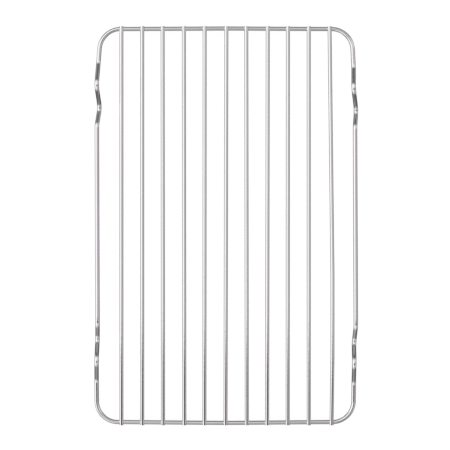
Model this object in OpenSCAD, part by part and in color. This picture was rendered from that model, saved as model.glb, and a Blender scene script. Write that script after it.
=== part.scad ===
// Broil rack: one bent border wire with eleven straight bars welded across its two ends.
// The rack lies flat with its bars uppermost, centred on the origin, and stands on its four feet.
// +Y runs along the bars and +Z points up. "Far" is the +Y end and "near" is the -Y end.

/* [Rack] */
// Overall length along the bars, over the two end wires
rack_l = 305; // [260:1:340]
// Distance between the centre lines of the two side wires
rack_w = 196.6; // [196:0.1:215]
// Diameter of the border wire
border_d = 3.3; // [2.8:0.1:3.8]
// Radius of the rounded corners at the centre of the wire
corner_r = 16.2; // [12:0.1:18]
// How far the far end wire bows outwards at its middle
far_bow = 0.5; // [0:0.1:1.5]
// How far the near end wire bows outwards at its middle
near_bow = 0.8; // [0:0.1:1.5]

/* [Legs] */
// Height of each leg's crest above the end wires, centre to centre
crest_rise = 9; // [7:0.5:10]
// Depth of each leg's foot below the end wires, centre to centre
foot_drop = 3.5; // [2.5:0.5:4.5]
// Height of the middle of the side wires above the end wires, level with the bars
rail_rise = 3; // [2:0.5:4]
// Bend radius where a leg leaves the corner stretch of the side wire
start_r = 8; // [6:0.5:9]
// Bend radius over the crest
crest_r = 6.5; // [5:0.5:7]
// Bend radius under the foot
foot_r = 6.5; // [5:0.5:7]
// Bend radius where a leg joins the middle stretch of the side wire
end_r = 7.5; // [6:0.5:9]

/* [Bars] */
// Diameter of each bar
bar_d = 2.95; // [2.4:0.05:3.3]
// Spacing of the bars, centre to centre
bar_pitch = 15.9; // [15.4:0.1:16]
// Length of each bar
bar_l = 304.6; // [259.6:0.1:339.6]
// How deep a weld sinks each bar into the end wires
weld_sink = 0.6; // [0.3:0.1:0.9]
// Chamfer left on the sheared ends of the bars
bar_chamfer = 0.3; // [0.1:0.05:0.5]

/* [Hidden] */
bar_count = 11;

// Facets round a wire, and round a full turn of a bend
wire_facets = 40;
bend_facets = 120;
// Elbows are drawn this much slimmer than the straight runs and reach this far into them
joint_ease = 0.02;
joint_lap = 0.15;
// Bend radius of a wire that only bows
bow_r = 900;

// Heights above the surface that the feet stand on
end_z = foot_drop + border_d / 2;
bar_z = end_z + (border_d + bar_d) / 2 - weld_sink;

// Centre lines of the end wires: their middles, and the lines through their corners
end_y = (rack_l - border_d) / 2;
far_corner_y = end_y - far_bow;
near_corner_y = end_y - near_bow;

// Which side (+1 right, -1 left) and which end (+1 far, -1 near) each leg is at
far_right = [1, 1];
near_right = [1, -1];
near_left = [-1, -1];
far_left = [-1, 1];

// Shares of a leg's length, from its middle, at which it starts, crests, touches down and ends
leg_marks = [-0.54, -0.17, 0.17, 0.46];

// Outward shift of the side wire at the corner, and then at those four marks.
// The legs were bent by hand tools, so no two are quite alike.
far_right_sway = [-2.4, -0.9, -1.6, 1.4, 0];
near_right_sway = [-1.1, -0.8, -1.1, -0.3, 0.6];
near_left_sway = [0.6, 0.9, 0.2, 0.6, 0];
far_left_sway = [-2.5, -0.5, 0.3, -1.2, 0.5];

// Distance of each leg's middle from the rack's middle, and its length along the side wire
far_right_span = [96.3, 50];
near_right_span = [96.8, 47.5];
near_left_span = [95, 47.5];
far_left_span = [98.6, 52];

// Sideways drift of each bar at its far and near welds, from bar 1 on the left
first_bar_x = -80.1;
far_drift = [0, 0, -0.3, 0, 0, 0.7, 0, 0.5, 0, 0, 0];
near_drift = [0, 0, 0, 0.4, -0.2, 0, 0.4, 0, -0.2, 0, 1.5];
// The last bar is bowed: places along it and how far it stands out there
bowed_bar = 11;
bow_places = [[-38, 2.2], [-100, 2.2]];

// Steepness of the slope that joins two level points of a wire: they lie `along` apart
// lengthwise and `rise` apart in height, and `radii` is the sum of the bend radii at them
function slope(along, rise, radii) =
    let (straight = sqrt(pow(along, 2) + pow(radii - rise, 2) - pow(radii, 2)))
    atan2(radii, straight) - atan2(radii - rise, along);

// Point where the slopes on the two sides of a bend would meet. The bend is level at
// `place` and `height`, curves up (+1) or down (-1), and has the slopes `before` and `after`.
function slopes_meet(place, height, r, before, after, way) =
    let (reach = r / cos((before + after) / 2), lean = (after - before) / 2)
    [place + reach * sin(lean), height + way * (r - reach * cos(lean))];

// The four bend points of a leg, as [distance along, height], from the corner inwards
function leg_profile(leg_l) =
    let (
        at = leg_marks * leg_l,
        outer = slope(at[1] - at[0], crest_rise, start_r + crest_r),
        middle = slope(at[2] - at[1], crest_rise + foot_drop, crest_r + foot_r),
        inner = slope(at[3] - at[2], rail_rise + foot_drop, foot_r + end_r)
    )
    [
        [at[0] + start_r * tan(outer / 2), 0],
        slopes_meet(at[1], crest_rise, crest_r, outer, middle, -1),
        slopes_meet(at[2], -foot_drop, foot_r, middle, inner, 1),
        [at[3] - end_r * tan(inner / 2), rail_rise]
    ];

// The same bend points in space, each with its bend radius: [point, radius]
function leg(corner, span, sway) =
    let (profile = leg_profile(span[1]), radii = [start_r, crest_r, foot_r, end_r])
    [for (k = [0:3]) [
        [
            corner[0] * (rack_w / 2 + sway[k + 1]),
            corner[1] * (span[0] - profile[k][0]),
            end_z + profile[k][1]
        ],
        radii[k]
    ]];

// The corner where a side wire turns into an end wire
function corner_bend(corner, y, sway) =
    [[corner[0] * (rack_w / 2 + sway[0]), corner[1] * y, end_z], corner_r];

// The middle of an end wire, where it bows outwards
function end_bend(y) = [[0, y, end_z], bow_r];

function flip(list) = [for (k = [len(list) - 1:-1:0]) list[k]];

// The two end wires from corner to corner, and the whole closed border
far_end = [
    corner_bend(far_left, far_corner_y, far_left_sway),
    end_bend(end_y),
    corner_bend(far_right, far_corner_y, far_right_sway)
];
near_end = [
    corner_bend(near_right, near_corner_y, near_right_sway),
    end_bend(-end_y),
    corner_bend(near_left, near_corner_y, near_left_sway)
];
border = concat(
    far_end,
    leg(far_right, far_right_span, far_right_sway),
    flip(leg(near_right, near_right_span, near_right_sway)),
    near_end,
    leg(near_left, near_left_span, near_left_sway),
    flip(leg(far_left, far_left_span, far_left_sway))
);
// Places of the two ends in the border's list: the bends of each from corner to corner
far_bends = [0:2];
near_bends = [11:13];

function unit(v) = v / norm(v);
function wrap(list, k) = list[(k + len(list)) % len(list)];
function heading(path, k) = unit(wrap(path, k + 1)[0] - wrap(path, k)[0]);
function turn(path, k) = acos(min(1, heading(path, k - 1) * heading(path, k)));
function set_back(path, k) = wrap(path, k)[1] * tan(turn(path, k) / 2);

// Places children with their x, y and z axes along the given directions
module placed(x, y, z, origin) {
    multmatrix([
        [x[0], y[0], z[0], origin[0]],
        [x[1], y[1], z[1], origin[1]],
        [x[2], y[2], z[2], origin[2]],
        [0, 0, 0, 1]
    ])
        children();
}

// The rounded part of bend k of a path, a piece of a ring that reaches a little past both ends
module elbow(path, k, d) {
    r = wrap(path, k)[1];
    arriving = heading(path, k - 1);
    leaving = heading(path, k);
    lap = joint_lap / r * 180 / PI;
    start = wrap(path, k)[0] - arriving * set_back(path, k);
    to_centre = unit(leaving - arriving * (arriving * leaving));
    placed(-to_centre, arriving, cross(-to_centre, arriving), start + r * to_centre)
        rotate([0, 0, -lap])
            rotate_extrude(angle = turn(path, k) + 2 * lap, $fn = bend_facets)
                translate([r, 0])
                    circle(d = d - joint_ease, $fn = wire_facets);
}

// A straight run of wire from one point to another, with chamfers on its free ends
module run(from, to, d, start_chamfer = 0, end_chamfer = 0) {
    along = unit(to - from);
    across = unit(cross([0, 0, 1], along));
    body_l = norm(to - from) - start_chamfer - end_chamfer;
    placed(across, cross(along, across), along, from) {
        translate([0, 0, start_chamfer])
            cylinder(h = body_l, d = d, $fn = wire_facets);
        if (start_chamfer > 0)
            cylinder(h = start_chamfer, d1 = d - 2 * start_chamfer, d2 = d, $fn = wire_facets);
        if (end_chamfer > 0)
            translate([0, 0, start_chamfer + body_l])
                cylinder(h = end_chamfer, d1 = d, d2 = d - 2 * end_chamfer, $fn = wire_facets);
    }
}

// The straight run that follows bend k of a path
module run_after(path, k, d) {
    ahead = heading(path, k);
    run(
        wrap(path, k)[0] + ahead * set_back(path, k),
        wrap(path, k + 1)[0] - ahead * set_back(path, k + 1),
        d
    );
}

// One end wire with its corners, as the bars see it
module end_wire(bends) {
    for (k = bends)
        elbow(border, k, border_d);
    for (k = [bends[0], bends[0] + 1])
        run_after(border, k, border_d);
}

// The closed border wire with its rounded corners and four legs
module border_wire() {
    color("silver")
        for (k = [0:len(border) - 1]) {
            elbow(border, k, border_d);
            run_after(border, k, border_d);
        }
}

function bar_end(i, side) =
    let (drift = side > 0 ? far_drift : near_drift)
    [first_bar_x + (i - 1) * bar_pitch + drift[i - 1], side * bar_l / 2, bar_z];

// The bends of a bar between its two ends: none, or two on the bowed one
function bar_bends(i) = i == bowed_bar
    ? [for (b = bow_places) [[first_bar_x + (i - 1) * bar_pitch + b[1], b[0], bar_z], bow_r]]
    : [];

// Bar number i before its welds: straight runs with chamfered ends, and elbows where it bows
module bar_blank(i) {
    path = concat([[bar_end(i, 1), 0]], bar_bends(i), [[bar_end(i, -1), 0]]);
    last = len(path) - 1;
    for (k = [0:last - 1])
        run(
            k == 0 ? path[0][0] : path[k][0] + heading(path, k) * set_back(path, k),
            k == last - 1 ? path[last][0]
                : path[k + 1][0] - heading(path, k) * set_back(path, k + 1),
            bar_d,
            k == 0 ? bar_chamfer : 0,
            k == last - 1 ? bar_chamfer : 0
        );
    if (last > 1)
        for (k = [1:last - 1])
            elbow(path, k, bar_d);
}

// A finished bar, with a saddle under each end where it is welded down onto an end wire
module bar(i) {
    color("gainsboro")
        difference() {
            bar_blank(i);
            end_wire(far_bends);
            end_wire(near_bends);
        }
}

border_wire();
for (i = [1:bar_count])
    bar(i);
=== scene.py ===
import math
import random
import bmesh
import bpy
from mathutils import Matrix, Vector


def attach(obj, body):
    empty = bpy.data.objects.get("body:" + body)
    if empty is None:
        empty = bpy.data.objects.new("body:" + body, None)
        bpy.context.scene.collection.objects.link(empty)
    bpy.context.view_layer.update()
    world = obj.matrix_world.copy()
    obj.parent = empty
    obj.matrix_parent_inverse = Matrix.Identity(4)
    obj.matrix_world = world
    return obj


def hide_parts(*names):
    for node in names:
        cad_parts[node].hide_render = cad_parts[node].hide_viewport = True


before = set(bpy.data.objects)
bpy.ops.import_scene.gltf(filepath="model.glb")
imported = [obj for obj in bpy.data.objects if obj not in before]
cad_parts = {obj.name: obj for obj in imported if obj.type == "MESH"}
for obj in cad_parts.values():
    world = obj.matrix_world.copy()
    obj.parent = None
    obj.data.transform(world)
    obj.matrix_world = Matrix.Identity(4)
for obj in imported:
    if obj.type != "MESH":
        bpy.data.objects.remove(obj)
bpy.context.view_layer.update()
mm = 0.001
print("frame loaded:", len(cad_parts), "wires")

# What a user would change on the border wire, in millimetres
borderWire = {
    "rackLength": 305.0,        # along the bars, over the two end wires
    "rackWidth": 196.6,         # between the centre lines of the side wires
    "diameter": 3.3,
    "cornerRadius": 16.2,
    "farBow": 0.5,              # how far each end wire bows outwards at its middle
    "nearBow": 0.8,
    "bowRadius": 900.0,
    "crestRise": 9.0,           # the legs' heights, from the end wires' centre line
    "footDrop": 3.5,
    "railRise": 3.0,
    "legRadii": [8.0, 6.5, 6.5, 7.5],          # where a leg starts, crests, touches down and ends
    "legMarks": [-0.54, -0.17, 0.17, 0.46],    # those places, as shares of the leg's length
    "buttWeldX": 4.9,           # where the wire's two ends meet, on the near end wire
    "buttWeldGroove": 0.05,     # depth of the groove dressed into it, as a share of the wire's radius
    "sides": 48,
    "bendStep": 2.0,            # degrees from one ring of the mesh to the next in a bend
    "runStep": 6.0,             # millimetres from one ring to the next on a straight run
}

# Each leg: its side and end, how far out its middle lies, its length,
# and how far the wire shifts outwards at the corner and at the leg's four bends
legs = {
    "farRight": {
        "side": 1, "end": 1, "middle": 96.3, "length": 50.0,
        "sway": [-2.4, -0.9, -1.6, 1.4, 0.0]},
    "nearRight": {
        "side": 1, "end": -1, "middle": 96.8, "length": 47.5,
        "sway": [-1.1, -0.8, -1.1, -0.3, 0.6]},
    "nearLeft": {
        "side": -1, "end": -1, "middle": 95.0, "length": 47.5,
        "sway": [0.6, 0.9, 0.2, 0.6, 0.0]},
    "farLeft": {
        "side": -1, "end": 1, "middle": 98.6, "length": 52.0,
        "sway": [-2.5, -0.5, 0.3, -1.2, 0.5]},
}

# What a user would change on the bars
bars = {
    "count": 11,
    "diameter": 2.95,
    "pitch": 15.9,
    "length": 304.6,
    "firstX": -80.1,
    "sink": 0.6,                # how deep a weld sets each bar into the end wires
    "endRounding": 0.3,
    "farDrift": {3: -0.3, 6: 0.7, 8: 0.5},
    "nearDrift": {4: 0.4, 5: -0.2, 7: 0.4, 9: -0.2, 11: 1.5},
    "bowedBar": 11,
    "bowPlaces": [[-38.0, 2.2], [-100.0, 2.2]],
    "sides": 40,
}

# What a user would change on the little collar of squeezed metal round each weld
weldCollar = {
    "gap": 0.34,                # height of the collar at its rim
    "unevenness": 0.22,
    "waist": 0.28,              # how far it draws in between the two wires, as a share of its height
    "reach": 1.3,               # never further along the bar than this
    "around": 40,
    "up": 8,
    "seed": 11,
}


# ---- the bent path of the border ----

def slope(along, rise, radii):  # steepness of the slope that joins two level points of a wire, in radians
    straight = math.sqrt(along ** 2 + (radii - rise) ** 2 - radii ** 2)
    return math.atan2(radii, straight) - math.atan2(radii - rise, along)


# where the slopes on both sides of a bend would meet
def slopesMeet(place, height, radius, before, after, way):
    reach = radius / math.cos((before + after) / 2)
    lean = (after - before) / 2
    return [place + reach * math.sin(lean), height + way * (radius - reach * math.cos(lean))]


def legProfile(length):
    start, crest, foot, end = borderWire["legRadii"]
    at = [mark * length for mark in borderWire["legMarks"]]
    rise, drop, rail = borderWire["crestRise"], borderWire["footDrop"], borderWire["railRise"]
    outer = slope(at[1] - at[0], rise, start + crest)
    middle = slope(at[2] - at[1], rise + drop, crest + foot)
    inner = slope(at[3] - at[2], rail + drop, foot + end)
    return [
        [at[0] + start * math.tan(outer / 2), 0],
        slopesMeet(at[1], rise, crest, outer, middle, -1),
        slopesMeet(at[2], -drop, foot, middle, inner, 1),
        [at[3] - end * math.tan(inner / 2), rail],
    ]


endZ = borderWire["footDrop"] + borderWire["diameter"] / 2
endY = (borderWire["rackLength"] - borderWire["diameter"]) / 2
barZ = endZ + (borderWire["diameter"] + bars["diameter"]) / 2 - bars["sink"]
halfWidth = borderWire["rackWidth"] / 2


def legBends(leg):
    bends = []
    for (along, up), sway, radius in zip(legProfile(leg["length"]), leg["sway"][1:], borderWire["legRadii"]):
        x, y = leg["side"] * (halfWidth + sway), leg["end"] * (leg["middle"] - along)
        bends.append((Vector((x, y, endZ + up)), radius))
    return bends


def cornerBend(leg):
    bow = borderWire["farBow"] if leg["end"] > 0 else borderWire["nearBow"]
    place = Vector((leg["side"] * (halfWidth + leg["sway"][0]), leg["end"] * (endY - bow), endZ))
    return (place, borderWire["cornerRadius"])


# points along a path of straight runs and round bends, from a list of (place, radius)
def bentPath(bends, closed):
    count = len(bends)
    points = []
    for k, (place, radius) in enumerate(bends):
        if radius == 0:
            points.append(place)
            continue
        arriving = (place - bends[k - 1][0]).normalized()
        leaving = (bends[(k + 1) % count][0] - place).normalized()
        turn = arriving.angle(leaving)
        back = radius * math.tan(turn / 2)
        towards = (leaving - arriving * arriving.dot(leaving)).normalized()
        centre = place - arriving * back + towards * radius
        steps = max(2, math.ceil(math.degrees(turn) / borderWire["bendStep"]))
        for step in range(steps + 1):
            angle = turn * step / steps
            points.append(centre + radius * (arriving * math.sin(angle) - towards * math.cos(angle)))
    spaced = []
    for k, point in enumerate(points):
        spaced.append(point)
        if k + 1 < len(points) or closed:
            ahead = points[(k + 1) % len(points)] - point
            cuts = int(ahead.length // borderWire["runStep"])
            spaced += [point + ahead * (cut + 1) / (cuts + 1) for cut in range(cuts)]
    return spaced


def borderPath():  # round the rack from one side of the butt weld to the other
    def sideWire(start, end):  # from one corner over both legs to the next corner
        return [cornerBend(start)] + legBends(start) + legBends(end)[::-1] + [cornerBend(end)]

    roundTheRack = sideWire(legs["nearLeft"], legs["farLeft"])
    roundTheRack += [(Vector((0, endY, endZ)), borderWire["bowRadius"])]
    roundTheRack += sideWire(legs["farRight"], legs["nearRight"])
    roundTheRack += [(Vector((0, -endY, endZ)), borderWire["bowRadius"])]
    points = bentPath(roundTheRack, True)
    onNear = [k for k, p in enumerate(points) if p.y < -endY + 2 and abs(p.x) < halfWidth - 30]
    weld = min(onNear, key=lambda k: abs(points[k].x - borderWire["buttWeldX"]))
    points = points[weld:] + points[:weld]
    nearWeld = [0.0, 0.15, 0.3, 0.45, 0.6, 0.8, 1.0, 1.4]  # fine rings where the groove is
    first, second, last = points[0], points[1], points[-1]
    ahead, behind = (second - first).normalized(), (last - first).normalized()
    gap = 0.02
    starts = [first + ahead * (gap + d) for d in nearWeld]
    ends = [first + behind * (gap + d) for d in reversed(nearWeld)]
    return starts + points[1:] + ends


def barEnd(number, side):
    drift = bars["farDrift" if side > 0 else "nearDrift"].get(number, 0.0)
    return Vector((bars["firstX"] + (number - 1) * bars["pitch"] + drift, side * bars["length"] / 2, barZ))


def barPath(number):
    bends = [(barEnd(number, 1), 0)]
    if number == bars["bowedBar"]:
        middle = bars["firstX"] + (number - 1) * bars["pitch"]
        for y, out in bars["bowPlaces"]:
            bends.append((Vector((middle + out, y, barZ)), borderWire["bowRadius"]))
    bends += [(barEnd(number, -1), 0)]
    points = bentPath(bends, False)
    rounding = bars["endRounding"]
    tips = [rounding * (1 - math.cos(math.radians(angle))) for angle in (0, 15, 30, 45, 60, 75, 90)]
    start, end = points[0], points[-1]
    ahead, back = (points[1] - start).normalized(), (points[-2] - end).normalized()
    points[:1] = [start + ahead * tip for tip in tips]
    points[-1:] = [end + back * tip for tip in reversed(tips)]
    return points


# ---- small helpers for node trees ----

class Feed:  # one output of a node, which Python's operators turn into Math nodes
    def __init__(self, board, socket):
        self.board, self.socket = board, socket

    def maths(self, operation, *values):
        return self.board.node("ShaderNodeMath", {"operation": operation}, dict(enumerate(values)))

    def __add__(self, other):
        return self.maths("ADD", self, other)

    def __radd__(self, other):
        return self.maths("ADD", other, self)

    def __sub__(self, other):
        return self.maths("SUBTRACT", self, other)

    def __rsub__(self, other):
        return self.maths("SUBTRACT", other, self)

    def __mul__(self, other):
        return self.maths("MULTIPLY", self, other)

    def __rmul__(self, other):
        return self.maths("MULTIPLY", other, self)

    def __truediv__(self, other):
        return self.maths("DIVIDE", self, other)

    def __pow__(self, other):
        return self.maths("POWER", self, other)

    def __neg__(self):
        return self.maths("MULTIPLY", self, -1)

    def __abs__(self):
        return self.maths("ABSOLUTE", self)


class Board:  # a node tree being filled in
    def __init__(self, tree):
        self.tree = tree
        tree.nodes.clear()

    def node(self, kind, settings=(), sockets=(), output=0):
        made = self.tree.nodes.new(kind)
        for name, value in dict(settings).items():
            if name == "stops":
                ramp = made.color_ramp
                while len(ramp.elements) < len(value):
                    ramp.elements.new(1)
                for element, (place, colour) in zip(ramp.elements, value):
                    element.position, element.color = place, colour
            elif name == "ease":
                made.color_ramp.interpolation = value
            else:
                setattr(made, name, value)
        for name, value in dict(sockets).items():
            if isinstance(value, Feed):
                self.tree.links.new(value.socket, made.inputs[name])
            else:
                made.inputs[name].default_value = value
        return Feed(self, made.outputs[output])

    # eases from one value to another while the feed goes from low to high
    def smooth(self, value, low, high, fromValue=0.0, toValue=1.0):
        return self.node("ShaderNodeMapRange", {"interpolation_type": "SMOOTHSTEP"},
                         {0: value, 1: low, 2: high, 3: fromValue, 4: toValue})

    def blend(self, share, first, second):  # two colours mixed by a share
        return self.node("ShaderNodeMix", {"data_type": "RGBA"}, {0: share, 6: first, 7: second}, 2)


def grey(level, tint=(1.0, 1.0, 1.0)):
    return (level * tint[0], level * tint[1], level * tint[2], 1.0)


# ---- chrome ----

chrome = {
    "colour": (0.84, 0.83, 0.845),
    # the welds' colour, darker than the chrome: partly their own duller plating, partly painted shade for the
    # crevice where each bar meets an end wire
    "weldShadeColour": (0.50, 0.485, 0.49),
    "haze": 0.05,               # how far the colour varies along a wire
    "roughness": (0.03, 0.09),
    "weldRoughness": 0.34,
    "drawnLines": 0.004,        # depth of the lines that wire drawing leaves, in millimetres
    "ripple": 0.010,            # depth of the plating's soft ripple
    "weldReach": 2.3,           # millimetres from a weld's middle over which the plating is dull and its colour darkened with painted crevice shade
    "weldZone": 140.0,          # no weld lies nearer the rack's middle than this
}


def chromePlate(name, tint, seed):
    material = bpy.data.materials.new(name)
    material.use_nodes = True
    board = Board(material.node_tree)
    place = board.node("ShaderNodeTexCoord", {}, {}, "Object")
    onWire = board.node("ShaderNodeAttribute", {"attribute_name": "alongWire"}, {}, "Vector")
    weldGap = board.node("ShaderNodeAttribute", {"attribute_name": "weldGap"}, {}, "Fac")

    def noise(feed, scale, stretch, detail, shift):
        moved = board.node("ShaderNodeMapping", {}, {0: feed, 1: (shift, seed, -shift), 3: stretch})
        return board.node("ShaderNodeTexNoise", {}, {0: moved, "Scale": scale, "Detail": detail})

    haze = noise(place, 28.0, (1, 1, 1), 3.0, 3.1)
    ripple = noise(place, 420.0, (1, 1, 1), 2.0, 7.7)
    lines = noise(onWire, 1.0, (2600, 2600, 24), 2.0, 1.3)
    specks = board.smooth(noise(place, 950.0, (1, 1, 1), 1.0, 5.9), 0.70, 0.78)
    weld = 1 - board.smooth(weldGap, chrome["weldReach"] * 0.55 * mm, chrome["weldReach"] * mm)

    clean = board.blend(haze, grey(1 - chrome["haze"], tint), grey(1 + chrome["haze"] * 0.4, tint))
    worn = board.blend(specks * 0.35, clean, grey(0.45, tint))
    # darker colour round each weld: the weld's duller plating plus painted shade for the crevice between bar
    # and end wire
    colour = board.blend(weld * 0.75, worn, (*chrome["weldShadeColour"], 1.0))
    low, high = chrome["roughness"]
    rough = low + (high - low) * (haze * 0.6 + lines * 0.4)
    rough = rough + weld * (chrome["weldRoughness"] - high) + specks * 0.1
    height = lines * (chrome["drawnLines"] * mm) + ripple * (chrome["ripple"] * mm)
    height = height + weld * ripple * (0.08 * mm)
    normal = board.node("ShaderNodeBump", {}, {"Strength": 1.0, "Distance": 1.0, "Height": height})
    shader = board.node("ShaderNodeBsdfPrincipled", {}, {
        "Base Color": colour, "Metallic": 1.0, "Roughness": rough, "Normal": normal})
    out = board.tree.nodes.new("ShaderNodeOutputMaterial")
    board.tree.links.new(shader.socket, out.inputs[0])
    return material


borderChrome = chromePlate("borderChrome", chrome["colour"], 2.0)
barChrome = chromePlate("barChrome", tuple(min(1.0, c * 1.02) for c in chrome["colour"]), 9.0)
print("chrome made")


# ---- the wire tree, which sweeps a round wire along its path ----

def wireTree():
    tree = bpy.data.node_groups.new("bentWire", "GeometryNodeTree")
    face = tree.interface
    face.new_socket("Path", in_out="INPUT", socket_type="NodeSocketGeometry")
    for name in ("Wire Diameter", "End Rounding", "Butt Weld Groove", "Groove Width"):
        face.new_socket(name, in_out="INPUT", socket_type="NodeSocketFloat")
    face.new_socket("Sides", in_out="INPUT", socket_type="NodeSocketInt")
    face.new_socket("Ends Capped", in_out="INPUT", socket_type="NodeSocketBool")
    face.new_socket("Welds", in_out="INPUT", socket_type="NodeSocketInt")
    face.new_socket("Collar", in_out="INPUT", socket_type="NodeSocketObject")
    face.new_socket("Far Weld", in_out="INPUT", socket_type="NodeSocketVector")
    face.new_socket("Near Weld", in_out="INPUT", socket_type="NodeSocketVector")
    face.new_socket("Collar Seed", in_out="INPUT", socket_type="NodeSocketInt")
    face.new_socket("Finish", in_out="INPUT", socket_type="NodeSocketMaterial")
    face.new_socket("Wire", in_out="OUTPUT", socket_type="NodeSocketGeometry")
    board = Board(tree)
    given = tree.nodes.new("NodeGroupInput")

    def ask(name):
        return Feed(board, given.outputs[name])

    diameter, rounding, groove = ask("Wire Diameter"), ask("End Rounding"), ask("Butt Weld Groove")
    along = board.node("GeometryNodeSplineParameter", {}, {}, "Length")
    total = board.node("GeometryNodeSplineLength", {}, {}, "Length")
    fromEnd = along.maths("MINIMUM", along, total - along)
    share = fromEnd.maths("MINIMUM", fromEnd / fromEnd.maths("MAXIMUM", rounding, 1e-7), 1.0)
    pulled = rounding * (1 - fromEnd.maths("SQRT", fromEnd.maths("MAXIMUM", 1 - (1 - share) ** 2, 0.0)))
    dip = groove * fromEnd.maths("EXPONENT", -((fromEnd / ask("Groove Width")) ** 2))
    radius = 1 - pulled * 2 / diameter - dip
    rail = board.node("GeometryNodeSetCurveRadius", {}, {"Curve": ask("Path"), "Radius": radius})
    railKept = tree.nodes.new("GeometryNodeCaptureAttribute")
    railKept.capture_items.new("FLOAT", "Along")
    tree.links.new(rail.socket, railKept.inputs["Geometry"])
    tree.links.new(along.socket, railKept.inputs["Along"])

    ring = board.node("GeometryNodeCurvePrimitiveCircle", {"mode": "RADIUS"}, {
        "Resolution": ask("Sides"), "Radius": diameter / 2}, "Curve")
    place = board.node("GeometryNodeInputPosition")
    ringKept = tree.nodes.new("GeometryNodeCaptureAttribute")
    ringKept.capture_items.new("VECTOR", "Round")
    tree.links.new(ring.socket, ringKept.inputs["Geometry"])
    tree.links.new(place.socket, ringKept.inputs["Round"])

    wire = board.node("GeometryNodeCurveToMesh", {}, {
        "Curve": Feed(board, railKept.outputs["Geometry"]),
        "Profile Curve": Feed(board, ringKept.outputs["Geometry"]),
        "Fill Caps": ask("Ends Capped")})
    apart = tree.nodes.new("ShaderNodeSeparateXYZ")
    tree.links.new(ringKept.outputs["Round"], apart.inputs[0])
    across, up, length = Feed(board, apart.outputs[0]), Feed(board, apart.outputs[1]), railKept.outputs["Along"]
    onWire = board.node("ShaderNodeCombineXYZ", {}, {0: across, 1: up, 2: Feed(board, length)})
    marked = board.node("GeometryNodeStoreNamedAttribute", {"data_type": "FLOAT_VECTOR"}, {
        "Geometry": wire, "Name": "alongWire", "Value": onWire})

    index = board.node("GeometryNodeInputIndex")
    farOrNear = tree.nodes.new("GeometryNodeSwitch")
    farOrNear.input_type = "VECTOR"
    tree.links.new(index.socket, farOrNear.inputs["Switch"])
    tree.links.new(ask("Far Weld").socket, farOrNear.inputs["False"])
    tree.links.new(ask("Near Weld").socket, farOrNear.inputs["True"])
    spots = board.node("GeometryNodePoints", {}, {
        "Count": ask("Welds"), "Position": Feed(board, farOrNear.outputs[0])})
    collar = board.node("GeometryNodeObjectInfo", {}, {0: ask("Collar")}, "Geometry")
    turned = tree.nodes.new("FunctionNodeRandomValue")
    turned.data_type = "BOOLEAN"
    tree.links.new(ask("Collar Seed").socket, turned.inputs["Seed"])
    halfTurn = Feed(board, turned.outputs[3]) * math.pi
    turn = board.node("ShaderNodeCombineXYZ", {}, {2: halfTurn})
    collars = board.node("GeometryNodeInstanceOnPoints", {}, {
        "Points": spots, "Instance": collar, "Rotation": turn})
    joined = tree.nodes.new("GeometryNodeJoinGeometry")
    tree.links.new(collars.socket, joined.inputs[0])
    tree.links.new(marked.socket, joined.inputs[0])
    real = board.node("GeometryNodeRealizeInstances", {}, {"Geometry": Feed(board, joined.outputs[0])})
    soft = board.node("GeometryNodeSetShadeSmooth", {}, {"Geometry": real})
    done = board.node("GeometryNodeSetMaterial", {}, {"Geometry": soft, "Material": ask("Finish")})
    out = tree.nodes.new("NodeGroupOutput")
    tree.links.new(done.socket, out.inputs["Wire"])
    return tree


# the metal squeezed out where a bar is welded onto an end wire, about the end wire's axis
def collarMesh():
    r1, r2 = borderWire["diameter"] / 2, bars["diameter"] / 2
    axisGap = r1 + r2 - bars["sink"]
    dice = random.Random(weldCollar["seed"])
    waves = [(dice.uniform(0, 2 * math.pi), n, weldCollar["unevenness"] / n) for n in (1, 2, 3, 5)]
    mesh = bpy.data.meshes.new("weldCollar")
    bm = bmesh.new()
    rings = []
    for a in range(weldCollar["around"]):
        angle = 2 * math.pi * a / weldCollar["around"]
        across, along = math.cos(angle), math.sin(angle)
        wanted = weldCollar["gap"] * (1 + sum(size * math.sin(n * angle + phase) for phase, n, size in waves))

        def heights(out):
            low = math.sqrt(max(0.0, r1 ** 2 - (out * along) ** 2))
            high = axisGap - math.sqrt(max(0.0, r2 ** 2 - (out * across) ** 2))
            return low, high

        near, far = 0.0, min(r1, r2) * 1.35
        for _ in range(40):
            out = (near + far) / 2
            low, high = heights(out)
            near, far = (out, far) if high - low < wanted else (near, out)
        out = min(near, weldCollar["reach"] / max(0.001, abs(along)))
        low, high = heights(out)
        rise = high - low
        ring = [(out * 0.55, low - 0.3)]
        for u in range(weldCollar["up"] + 1):
            share = -0.12 + 1.24 * u / weldCollar["up"]
            waist = weldCollar["waist"] * rise * math.sin(math.pi * min(1, max(0, share)))
            ring.append((out - waist, low + rise * share))
        ring.append((out * 0.55, high + 0.3))
        rings.append([bm.verts.new((o * across * mm, o * along * mm, z * mm)) for o, z in ring])
    count = len(rings[0])
    for a, ring in enumerate(rings):
        after = rings[(a + 1) % len(rings)]
        for u in range(count):
            v = (u + 1) % count
            bm.faces.new((ring[u], after[u], after[v], ring[v]))
    bmesh.ops.recalc_face_normals(bm, faces=bm.faces)
    bm.to_mesh(mesh)
    bm.free()
    return bpy.data.objects.new("weldCollar", mesh)


wires = wireTree()
collar = collarMesh()
bpy.context.scene.collection.objects.link(collar)
collar.hide_render = True


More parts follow.
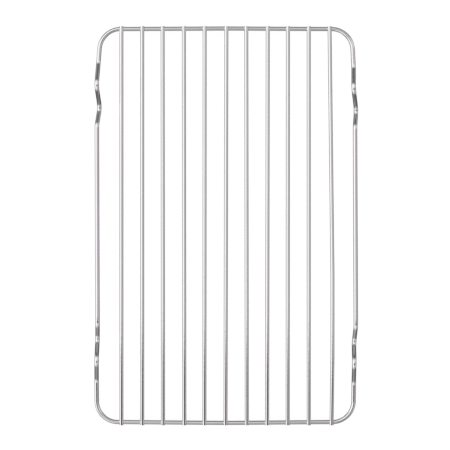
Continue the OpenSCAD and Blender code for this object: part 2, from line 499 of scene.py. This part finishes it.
def sweepWire(name, points, closed, values, node):
    curve = bpy.data.curves.new(name, "CURVE")
    curve.dimensions = "3D"
    spline = curve.splines.new("POLY")
    spline.points.add(len(points) - 1)
    for spot, point in zip(spline.points, points):
        spot.co = (*(point * mm), 1.0)
    spline.use_cyclic_u = closed
    source = bpy.data.objects.new(name + "Path", curve)
    bpy.context.scene.collection.objects.link(source)
    modifier = source.modifiers.new("wire", "NODES")
    modifier.node_group = wires
    named = {item.name: item.identifier for item in wires.interface.items_tree if item.in_out == "INPUT"}
    for key, value in values.items():
        modifier[named[key]] = value
    bpy.context.view_layer.update()
    graph = bpy.context.evaluated_depsgraph_get()
    mesh = bpy.data.meshes.new_from_object(source.evaluated_get(graph))
    bpy.data.objects.remove(source)
    bpy.data.curves.remove(curve)
    mesh.name = name
    for polygon in mesh.polygons:
        if len(polygon.vertices) > 4:
            polygon.use_smooth = False
    piece = bpy.data.objects.new(name, mesh)
    bpy.context.scene.collection.objects.link(piece)
    markWelds(mesh)
    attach(piece, "root")
    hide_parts(node)
    return piece


def endWireY(x, end):  # centre line of an end wire at a place across the rack
    bow = borderWire["farBow"] if end > 0 else borderWire["nearBow"]
    reach = halfWidth - 1.5
    return end * (endY - bow * abs(x) / reach)


weldPlaces = []
for number in range(1, bars["count"] + 1):
    for end in (1, -1):
        x = barEnd(number, end).x
        weldPlaces.append(Vector((x, endWireY(x, end), endZ)))


def markWelds(mesh):  # stores how far each point is from the nearest weld
    middles = [(p + Vector((0, 0, borderWire["diameter"] / 2 - bars["sink"] / 2))) * mm for p in weldPlaces]
    gaps = []
    for vertex in mesh.vertices:
        nearEnd = abs(vertex.co.y) > chrome["weldZone"] * mm
        gaps.append(min((vertex.co - middle).length for middle in middles) if nearEnd else 1.0)
    layer = mesh.attributes.new("weldGap", "FLOAT", "POINT")
    layer.data.foreach_set("value", gaps)


common = {"Collar": collar, "Groove Width": 0.45 * mm}
pieces = [sweepWire("borderWire", borderPath(), True, {
    **common, "Wire Diameter": borderWire["diameter"] * mm, "Sides": borderWire["sides"], "End Rounding": 0.0,
    "Butt Weld Groove": borderWire["buttWeldGroove"], "Ends Capped": False, "Welds": 0, "Collar Seed": 0,
    "Finish": borderChrome}, "border_wire")]
print("border wire swept:", len(pieces[0].data.polygons), "faces")

for number in range(1, bars["count"] + 1):
    farWeld, nearWeld = weldPlaces[2 * number - 2], weldPlaces[2 * number - 1]
    pieces.append(sweepWire(f"bar{number:02d}", barPath(number), False, {
        **common, "Wire Diameter": bars["diameter"] * mm, "Sides": bars["sides"],
        "End Rounding": bars["endRounding"] * mm, "Butt Weld Groove": 0.0, "Ends Capped": True, "Welds": 2,
        "Far Weld": tuple(farWeld * mm), "Near Weld": tuple(nearWeld * mm), "Collar Seed": number,
        "Finish": barChrome}, f"bar_{number}"))
bpy.data.objects.remove(collar)
print("bars welded on:", len(pieces) - 1)


# ---- studio ----

studio = {
    "floorSize": 6.0,
    "floorColour": 0.9,
    "floorOwnLight": 0.85,      # share of the floor's look that stays plain white
    "floorGlow": 1.06,
    "cameraHeight": 1500.0,     # millimetres above the end wires
    "cameraX": -0.99,
    "cameraY": 0.54,
    "lens": 156.86,
    # The room that the wires mirror, by degrees of lean to the right and towards the far end
    "sideways": [
        (-90, 0.45), (-78, 0.60), (-30, 0.60), (-12, 0.45), (2, 0.27), (18, 0.18), (50, 0.29), (72, 0.25),
        (90, 0.10)],
    "lengthways": [
        (-90, 0.36), (-62, 0.56), (-44, 0.60), (-30, 0.75), (-18, 0.80), (-3, 0.66), (5, 0.70), (13, 1.05),
        (34, 0.95), (50, 0.60), (66, 0.16)],
    "roomLevel": 3.2,
    "brightest": 1.2,
    "farBand": (52, 70),        # degrees from straight up over which the far end of the room darkens
    "farFading": (74, 96, 0.72),  # and grows a little lighter again
    "nearBand": (58, 90),
    "bandLevel": 0.15,
    "patchAcross": (-27, 36),   # a dark patch overhead, in degrees of lean
    "patchAlong": (-17.5, -3.6),
    "patchLevel": 0.02,
    "horizon": (96, 116),       # degrees from straight up over which the room turns into the dark below
    "belowLevel": 0.05,
    "belowEnds": 0.45,          # how much lighter that dark is at the two ends
    "tint": (1.0, 0.975, 0.995),
}

floorMesh = bpy.data.meshes.new("floor")
half = studio["floorSize"] / 2
corners = [(-half, -half, 0), (half, -half, 0), (half, half, 0), (-half, half, 0)]
floorMesh.from_pydata(corners, [], [(0, 1, 2, 3)])
floor = bpy.data.objects.new("floor", floorMesh)
bpy.context.scene.collection.objects.link(floor)
paper = bpy.data.materials.new("paper")
paper.use_nodes = True
board = Board(paper.node_tree)
rays = board.node("ShaderNodeLightPath", {}, {}, "Is Camera Ray")
matt = board.node("ShaderNodeBsdfDiffuse", {}, {"Color": grey(studio["floorColour"])})
plain = board.node("ShaderNodeEmission", {}, {"Color": grey(1.0), "Strength": studio["floorGlow"]})
mixed = board.node("ShaderNodeMixShader", {}, {0: rays * studio["floorOwnLight"], 1: matt, 2: plain})
out = paper.node_tree.nodes.new("ShaderNodeOutputMaterial")
paper.node_tree.links.new(mixed.socket, out.inputs[0])
floorMesh.materials.append(paper)
floor.visible_glossy = False  # the wires mirror the dark below them instead, which draws their edges

world = bpy.data.worlds.new("studio")
bpy.context.scene.world = world
world.use_nodes = True
board = Board(world.node_tree)
heading = board.node("ShaderNodeTexCoord", {}, {}, "Generated")
split = board.tree.nodes.new("ShaderNodeSeparateXYZ")
board.tree.links.new(heading.socket, split.inputs[0])
dx, dy, dz = (Feed(board, split.outputs[k]) for k in range(3))
toDegrees = 180 / math.pi
leanX = dx.maths("ARCSINE", dx) * toDegrees     # how far a direction leans to the right
leanY = dy.maths("ARCSINE", dy) * toDegrees     # and towards the rack's far end
fromUp = dz.maths("ARCCOSINE", dz) * toDegrees


def bandOf(feed, low, high, soft):
    rising = board.smooth(feed, low - soft, low + soft)
    return rising * (1 - board.smooth(feed, high - soft, high + soft))


def ramp(feed, low, high, stops):
    even = board.node("ShaderNodeMapRange", {}, {0: feed, 1: low, 2: high, 3: 0.0, 4: 1.0})
    spread = [((place - low) / (high - low), grey(level)) for place, level in stops]
    return board.node("ShaderNodeValToRGB", {"stops": spread, "ease": "EASE"}, {0: even})


sideways = ramp(leanX, -90, 90, studio["sideways"])
lengthways = ramp(leanY, -90, 90, studio["lengthways"])
upright = dz.maths("SQRT", dz.maths("MAXIMUM", 1 - dz * dz, 0.0001))
endShare = dy / upright     # 1 towards the far end, -1 towards the near end
fadeFrom, fadeTo, fadeLevel = studio["farFading"]
farDark = board.smooth(fromUp, *studio["farBand"]) * board.smooth(endShare, 0.35, 0.75)
farDark = farDark * board.smooth(fromUp, fadeFrom, fadeTo, 1.0, fadeLevel)
nearDark = board.smooth(fromUp, *studio["nearBand"]) * board.smooth(endShare, -0.35, -0.75)
darkPatch = bandOf(leanX, *studio["patchAcross"], 4) * bandOf(leanY, *studio["patchAlong"], 1.0)
level = sideways * lengthways * studio["roomLevel"]
level = level.maths("MINIMUM", level, studio["brightest"])
level = level * (1 - farDark) + farDark * studio["bandLevel"]
level = level * (1 - nearDark) + nearDark * studio["bandLevel"]
level = level * (1 - darkPatch) + darkPatch * studio["patchLevel"]
under = board.smooth(fromUp, *studio["horizon"])
below = studio["belowLevel"] + studio["belowEnds"] * board.smooth(abs(endShare), 0.6, 0.9)
level = level * (1 - under) + under * below
seen = board.node("ShaderNodeCombineColor", {}, {k: level * share for k, share in enumerate(studio["tint"])})
cameraRays = board.node("ShaderNodeLightPath", {}, {}, "Is Camera Ray")
glossy = Feed(board, cameraRays.socket.node.outputs["Is Glossy Ray"])
light = board.blend(glossy, grey(1.0), seen)
shone = board.node("ShaderNodeBackground", {}, {"Color": light, "Strength": 1.0})
out = world.node_tree.nodes.new("ShaderNodeOutputWorld")
world.node_tree.links.new(shone.socket, out.inputs[0])

lens = bpy.data.cameras.new("camera")
lens.lens = studio["lens"]
lens.sensor_width = 36.0
lens.clip_start, lens.clip_end = 0.01, 20.0
camera = bpy.data.objects.new("camera", lens)
camera.location = Vector((studio["cameraX"], studio["cameraY"], endZ + studio["cameraHeight"])) * mm
bpy.context.scene.collection.objects.link(camera)
bpy.context.scene.camera = camera
bpy.context.scene.view_settings.view_transform = "Standard"
print("studio ready")
